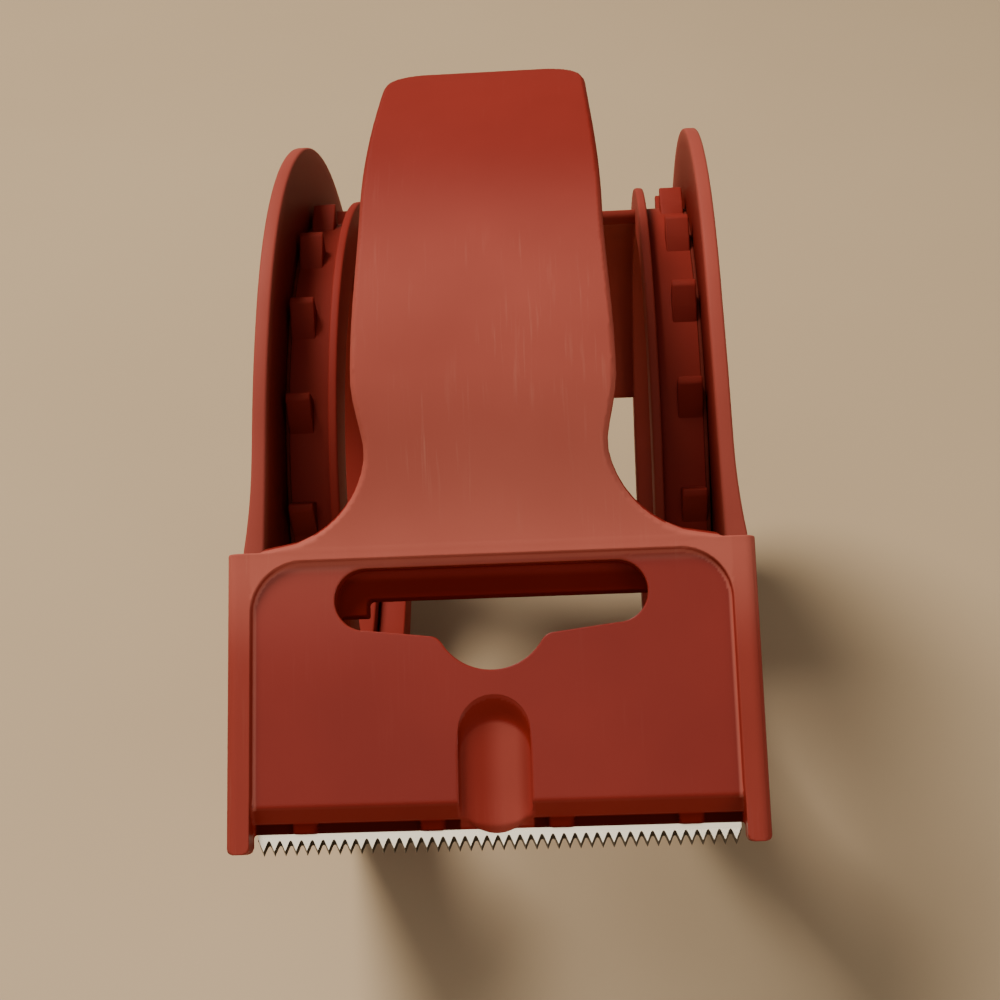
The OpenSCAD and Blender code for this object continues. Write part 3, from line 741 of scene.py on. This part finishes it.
# The right lip ring and its tongue are made paler than fresh red: painted light, for the light on the
# tongue's outer face.
TONGUE_ROUND, TONGUE_LIGHT = 0.4, 0.3
TONGUE_START, TONGUE_TURN, TONGUE_STEPS = math.radians(-18), math.radians(83), 40
TONGUE_PROFILE = [
    (DRUM_R - TONGUE_T, TONGUE_ROOT), (DRUM_R, TONGUE_ROOT),
    (DRUM_R, TONGUE_END), (DRUM_R - TONGUE_T, TONGUE_END),
]
bm = bmesh.new()
sweep(bm, round_corners(mirrored(LIP_PROFILE, -1), DRUM_ROUND))
left_lip = piece_from(bm, "left_lip", HUB_LIGHT)
finish_piece(left_lip, "left_hub", "red_plastic", RED, "left_lip_ring")

bm = bmesh.new()
sweep(bm, round_corners(LIP_PROFILE, DRUM_ROUND))
sweep(bm, round_corners(TONGUE_PROFILE, TONGUE_ROUND), TONGUE_START, TONGUE_TURN, TONGUE_STEPS)
bridge = piece_from(bm, "core_tongue", TONGUE_LIGHT)
finish_piece(bridge, "right_hub", "red_plastic", RED, "core_bridge")
print(left_lip.name, "and", bridge.name)

# %% [markdown]
# ### Retaining rings and washers
# Outside the arm a flat ring keeps the sleeve from slipping out, and between drum and arm lies a thin
# washer that brakes the roll. Both are plain rings, so four corners each are enough for the sweep.

# %% Retaining rings and washers
KEEPER_R, KEEPER_ROUND, WASHER_ROUND = 33.8, 0.25, 0.1
WASHER_R, WASHER_BORE_R, WASHER_IN, WASHER_OUT = 35.08, 31.35, 24.42, 24.88


def ring_profile(bore_r, rim_r, near, far):
    return [(bore_r, near), (rim_r, near), (rim_r, far), (bore_r, far)]


RING_PROFILE = ring_profile(ARM_BORE_R, KEEPER_R, RING_IN, RING_OUT)
WASHER_PROFILE = ring_profile(WASHER_BORE_R, WASHER_R, WASHER_IN, WASHER_OUT)
for name, side in SIDES:
    bm = bmesh.new()
    sweep(bm, round_corners(mirrored(RING_PROFILE, side), KEEPER_ROUND))
    keeper = piece_from(bm, name + "_keeper")
    finish_piece(keeper, name + "_hub", "red_plastic", RED, name + "_retaining_ring")
    bm = bmesh.new()
    sweep(bm, round_corners(mirrored(WASHER_PROFILE, side), WASHER_ROUND, steps=1))
    washer = piece_from(bm, name + "_washer")
    finish_piece(washer, name + "_hub", "fibre", FIBRE, name + "_drag_washer")
    print(keeper.name, "and", washer.name)

# %% [markdown]
# ## Side arms
# An arm is a flat plate with a round end, a big hole for the hub's sleeve and a straight front edge
# that carries the hinge barrel. A filled outline would leave long thin triangles that spoil the
# shading. Seen from the hole's middle the outline never turns back on itself, so the plate is a net of
# rings between the hole and the outline, which stays even and lets the rim be rounded by a bevel.

# %% Side arms: outline
DISC_R = 45.4
FOOT_L, FOOT_CORNER, ARM_LOW, ARM_FRONT = 24.0, 5.5, 2.7, -7.8


def toward(turn):
    return Vector((math.cos(turn), math.sin(turn)))


def on_plate_yz(y, z):
    """A point of the plate's frame as (y, z) from the roll's axis."""
    return Vector((
        TOE_Y - HUB_Y + y * math.cos(SLOPE) - z * math.sin(SLOPE),
        TOE_Z - HUB_Z + y * math.sin(SLOPE) + z * math.cos(SLOPE),
    ))


def arm_corners():
    """The arm's outline in front of its round end, from the upper tangent round to under the axis."""
    top, low = on_plate_yz(PLATE_L + ARM_LOW, ARM_FRONT), on_plate_yz(ARM_LOW, ARM_FRONT)
    tangent = math.atan2(top.y, top.x) - math.acos(DISC_R / top.length)
    toe = Vector((-FOOT_L + FOOT_CORNER, -DISC_R + FOOT_CORNER))
    gap = low - toe
    toe_turn = math.atan2(gap.y, gap.x) + math.acos(FOOT_CORNER / gap.length)
    toe_arc = [toe + FOOT_CORNER * toward(a) for a in np.linspace(toe_turn, 1.5 * math.pi, 9)]
    return [DISC_R * toward(tangent), top, low, *toe_arc, Vector((0, -DISC_R))]


def reach(turn, corners):
    """Distance from the axis to the arm's outline in that direction."""
    way = toward(turn)
    for a, b in zip(corners, corners[1:]):
        side = b - a
        cross = way.x * side.y - way.y * side.x
        if abs(cross) < 1e-9:
            continue
        t = (a.x * side.y - a.y * side.x) / cross
        u = (a.x * way.y - a.y * way.x) / cross
        if t > 0 and -1e-6 <= u <= 1 + 1e-6:
            return max(t, DISC_R)
    return DISC_R


def arm_turns(corners):
    """Even turns round the hole, closer before the top corner, with the outline's own among them."""
    exact = [math.atan2(c.y, c.x) % (2 * math.pi) for c in corners]
    even = [i * math.pi / 90 for i in range(180)]
    even += [exact[1] - i * math.pi / 360 for i in range(1, 16)]
    kept = [a for a in even if all(abs(a - e) > 0.006 for e in exact)]
    return sorted(kept + exact)


ARM_OUTLINE = arm_corners()
TURNS = arm_turns(ARM_OUTLINE)
print("arm outline:", len(ARM_OUTLINE), "corners,", len(TURNS), "turns")

# %% [markdown]
# In front of the hub the plate leans out by less than a millimetre and its upper corner flares, so that
# it runs into the ear's edge. The rim is rubbed pale, and the inner face beside the drum is darkened
# with painted shade.

# %% Side arms: plate
FLARE, FLARE_REACH, FLARE_UP = 0.75, 10.4, 1.3
LEAN, LEAN_START, LEAN_FULL = 0.7, 20, 52
# The last of these darkens the inner face near the hole: painted shade.
ARM_WEAR, RIM_WEAR, ARM_SHADE = 0.12, 0.55, 0.4
SHARES = (0, 0.15, 0.35, 0.87, 1)


def arm_point(side, x, share, turn):
    """A point of the arm's inner or outer face, a share of the way from the hole to the outline."""
    p = around_axis(side * x, ARM_BORE_R + share * (reach(turn, ARM_OUTLINE) - ARM_BORE_R), turn)
    out = LEAN * smooth_step(LEAN_START, LEAN_FULL, HUB_Y - p.y / MM)
    if x == ARM_OUT:
        corner = (PLATE_FRAME.inverted() @ p) / MM - Vector((0, PLATE_L + FLARE_UP, ARM_FRONT))
        away = max(corner.y, -0.3 * corner.y, -0.6 * corner.z)
        out += FLARE * max(0, 1 - away / FLARE_REACH) ** 2
    p.x += side * out * MM
    return p


def add_arm_plate(bm, side):
    """Adds the plate's closed net of rings, and returns the wear and the painted shade of its points."""
    loops, wear_and_light, arm_shade = [], [], []
    for x, shares in ((ARM_IN, SHARES), (ARM_OUT, SHARES[::-1])):
        for share in shares:
            loops.append([bm.verts.new(arm_point(side, x, share, t)) for t in TURNS])
            wear_and_light += [RIM_WEAR if share == 1 else ARM_WEAR] * len(TURNS)
            # Painted shade on the inner face near the hole, beside the drum.
            arm_shade += [ARM_SHADE if x == ARM_IN and share < 0.5 else 0] * len(TURNS)
    for a, b in zip(loops, loops[1:] + loops[:1]):
        join_loops(bm, a, b)
    return wear_and_light, arm_shade


print("plate points per arm:", 2 * len(SHARES) * len(TURNS))

# %% [markdown]
# Such an arm is moulded in one with its hinge barrel. Here the barrel is a round bar along the plate's
# slope, and a short block joins it to the arm. The three simply overlap: the seams lie behind the ear,
# where nobody sees them, and joining them into one skin would spoil the even net.

# %% Side arms: hinge barrel, and the arms put together
HINGE_X, HINGE_DEEP, BARREL_R, BARREL_LOW, BARREL_HIGH = 25.15, 5.2, 2.0, 8.5, 24.5
WEB_LAP, ARM_ROUND, ARM_ROUND_ANGLE = 1, 0.35, math.radians(40)


def add_tube(bm, start, end, r, steps=24):
    """A capped round bar between two points."""
    along = (end - start).normalized()
    across = along.orthogonal().normalized()
    other = along.cross(across)
    turns = [k * 2 * math.pi / steps for k in range(steps)]
    low, high = (
        [bm.verts.new(p + r * (across * math.cos(t) + other * math.sin(t))) for t in turns]
        for p in (start, end)
    )
    join_loops(bm, low, high)
    bm.faces.new(low[::-1])
    bm.faces.new(high)


def add_hinge(bm, side):
    """The barrel round the hinge pin and the block that joins it to the arm."""
    ends = (Vector((side * HINGE_X, y, -HINGE_DEEP)) * MM for y in (BARREL_LOW, BARREL_HIGH))
    add_tube(bm, *(PLATE_FRAME @ end for end in ends), BARREL_R * MM)
    low = Vector((ARM_IN, BARREL_LOW, ARM_FRONT - WEB_LAP))
    high = Vector((ARM_OUT, BARREL_HIGH, -HINGE_DEEP))
    middle, size = (low + high) / 2, high - low
    for v in bmesh.ops.create_cube(bm, size=1.0)["verts"]:
        place = middle * Vector((side, 1, 1)) + v.co * size
        v.co = PLATE_FRAME @ (place * MM)


for name, side in SIDES:
    bm = bmesh.new()
    wear_and_light, arm_shade = add_arm_plate(bm, side)
    add_hinge(bm, side)
    arm = piece_from(bm, name + "_side_arm", ARM_WEAR)
    rest = len(arm.data.vertices) - len(wear_and_light)
    wear_layer = arm.data.attributes["wear_and_light"].data
    wear_layer.foreach_set("value", np.array(wear_and_light + [ARM_WEAR] * rest, dtype=np.float32))
    # The second mask is painted shade.
    set_mask(arm, "painted_shade", np.array(arm_shade + [0] * rest))
    rounded = arm.modifiers.new("rounded_edges", "BEVEL")
    rounded.width, rounded.segments = ARM_ROUND * MM, 3
    rounded.limit_method, rounded.angle_limit = "ANGLE", ARM_ROUND_ANGLE
    finish_piece(arm, name + "_arm", "red_plastic", RED, name + "_arm")
    print(arm.name, len(arm.data.vertices), "points")

# %% [markdown]
# ## Blade
# The gaps between the blade's teeth are round at their roots, so the solid's sharp root edges get a
# round bevel. Its flat triangles are joined first, because thin ones would shade badly. The teeth are
# ground: on the front they stop a little short, and a slanting facet runs from there to the back's
# edge. Moving only the front's tooth points up the plate gives every tooth that facet and keeps the
# rest of the solid, screw holes included. The facets are marked with a face attribute and painted
# dark: painted shade for the dark surroundings they reflect.

# %% Blade: round roots between the teeth
BLADE_FRONT, TOOTH_ROOT, ROOT_ROUND, GRIND = -2.8, 1.0, 0.42, 0.55
NEAR = 0.05
blade = link_mesh("ground_blade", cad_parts["cutter_blade"].data.copy())
strip = bmesh.new()
strip.from_mesh(blade.data)
bmesh.ops.remove_doubles(strip, verts=strip.verts[:], dist=0.001 * MM)
bmesh.ops.dissolve_limit(strip, angle_limit=math.radians(1), verts=strip.verts[:], edges=strip.edges[:])


def is_root(e):
    """Whether the edge runs through the strip at the root of a gap."""
    a, b = (in_plate(np.array(v.co)) for v in e.verts)
    return abs(a[0] - b[0]) < 0.01 and max(abs(a[1] - TOOTH_ROOT), abs(b[1] - TOOTH_ROOT)) < NEAR


roots = [e for e in strip.edges if is_root(e)]
bmesh.ops.bevel(
    strip, geom=roots, offset=ROOT_ROUND * MM, segments=4, profile=0.5, affect="EDGES", clamp_overlap=True
)
strip.to_mesh(blade.data)
strip.free()
print(blade.name, "rounded roots:", len(roots))

# %% Blade: ground facets
local = in_plate(points_of(blade))
toothed = (local[:, 1] < TOOTH_ROOT + NEAR) & (local[:, 2] > BLADE_FRONT - 0.1)
local[toothed, 1] += GRIND
put_plate_points(blade, local)
turn_to_plate = PLATE_FRAME.to_3x3().inverted()
normals = np.array([turn_to_plate @ f.normal for f in blade.data.polygons])
facet = (normals[:, 1] < -0.2) & (np.abs(normals[:, 2]) < 0.98)
# The marked facets get painted shade.
ground_layer = blade.data.attributes.new("ground", "FLOAT", "FACE").data
ground_layer.foreach_set("value", facet.astype(np.float32))
finish_piece(blade, "frame", "blade_steel", BLADE_STEEL, "cutter_blade")
print("ground points:", int(toothed.sum()), "facets:", int(facet.sum()))

# %% [markdown]
# ## Clamp, pins and screws
# The clamp, pins and screws are hard, crisp pieces and their solids are already right, so they keep
# them. They get their finish, and a very small bevel that catches the light along the edges.

# %% Clamp, pins and screws
for node, material, width in (
    ("blade_clamp", RED, 0.25), ("blade_screws", PIN_STEEL, 0.15),
    ("left_hinge_pin", PIN_STEEL, 0.15), ("right_hinge_pin", PIN_STEEL, 0.15),
):
    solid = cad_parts[node]
    solid.data.materials.clear()
    solid.data.materials.append(material)
    rounded = solid.modifiers.new("rounded_edges", "BEVEL")
    rounded.width, rounded.segments = width * MM, 2
    rounded.limit_method, rounded.angle_limit = "ANGLE", math.radians(35)
print("finished the clamp, pins and screws")

# %% [markdown]
# ## Floor
# The dispenser stands on a pale, plain table. It is only as large as the views need, and its colour
# varies slowly, because an even colour would look like a drawn background.

# %% Floor
FLOOR_HALF = 0.8
FLOOR_TONES = [(0.3, (0.460, 0.352, 0.228, 1)), (0.7, (0.490, 0.380, 0.250, 1))]
floor_mesh = bpy.data.meshes.new("table_top")
bm = bmesh.new()
bmesh.ops.create_grid(bm, x_segments=1, y_segments=1, size=FLOOR_HALF)
bm.to_mesh(floor_mesh)
bm.free()
floor = link_mesh("table_top", floor_mesh)
PALE_TABLE, floor_tree, floor_shader = new_material("pale_table")
floor_clouds = noise(floor_tree, object_place(floor_tree), 6.0, 4.0)
floor_tree.links.new(ramp(floor_tree, floor_clouds, FLOOR_TONES), floor_shader.inputs["Base Color"])
floor_shader.inputs["Roughness"].default_value = 0.6
floor_shader.inputs["Specular IOR Level"].default_value = 0.2
floor.data.materials.append(PALE_TABLE)
print("floor at z", floor.location.z)

# %% [markdown]
# ## Light
# Soft indoor light falls from above and behind on the left, which leaves the plate in half shade and a
# soft shadow to the right and in front. A large area light gives that direction, three weaker ones
# stand for the walls and ceiling, and the surroundings are pale near the horizon, which fills the
# shade. A sky picture could do the same, but not without an image.

# %% Lights
MIDDLE = Vector((0, 0, 0.05))
LAMP_WARM, WALL_WARM = (1.0, 0.90, 0.77), (1.0, 0.92, 0.81)
for name, place, size, power, colour in (
    ("ceiling_lamp", (-0.36, 0.28, 0.88), 0.40, 12.2, LAMP_WARM),
    ("room_fill", (-0.10, -0.60, 0.95), 0.8, 3.0, WALL_WARM),
    ("left_wall", (-0.75, -0.60, 0.55), 0.6, 0.9, WALL_WARM),
    ("right_wall", (0.80, -0.55, 0.45), 0.6, 2.9, WALL_WARM),
):
    light = bpy.data.lights.new(name, "AREA")
    light.shape, light.size, light.energy, light.color = "DISK", size, power, colour
    lamp = bpy.data.objects.new(name, light)
    lamp.location = place
    lamp.rotation_euler = (MIDDLE - Vector(place)).to_track_quat("-Z", "Y").to_euler()
    bpy.context.scene.collection.objects.link(lamp)
print("lights:", len(bpy.data.lights))

# %% Surroundings
ROOM_TONES = [
    (0.0, (0.36, 0.325, 0.27, 1)), (0.22, (0.20, 0.18, 0.15, 1)), (0.55, (0.04, 0.036, 0.03, 1)),
]
world = bpy.data.worlds.new("soft_room")
world.use_nodes = True
sky = world.node_tree
around = add(sky, "ShaderNodeTexCoord").outputs["Generated"]
height = add(sky, "ShaderNodeSeparateXYZ", Vector=around).outputs["Z"]
sky.links.new(ramp(sky, height, ROOM_TONES), sky.nodes["Background"].inputs["Color"])
bpy.context.scene.world = world
print("surroundings:", world.name)
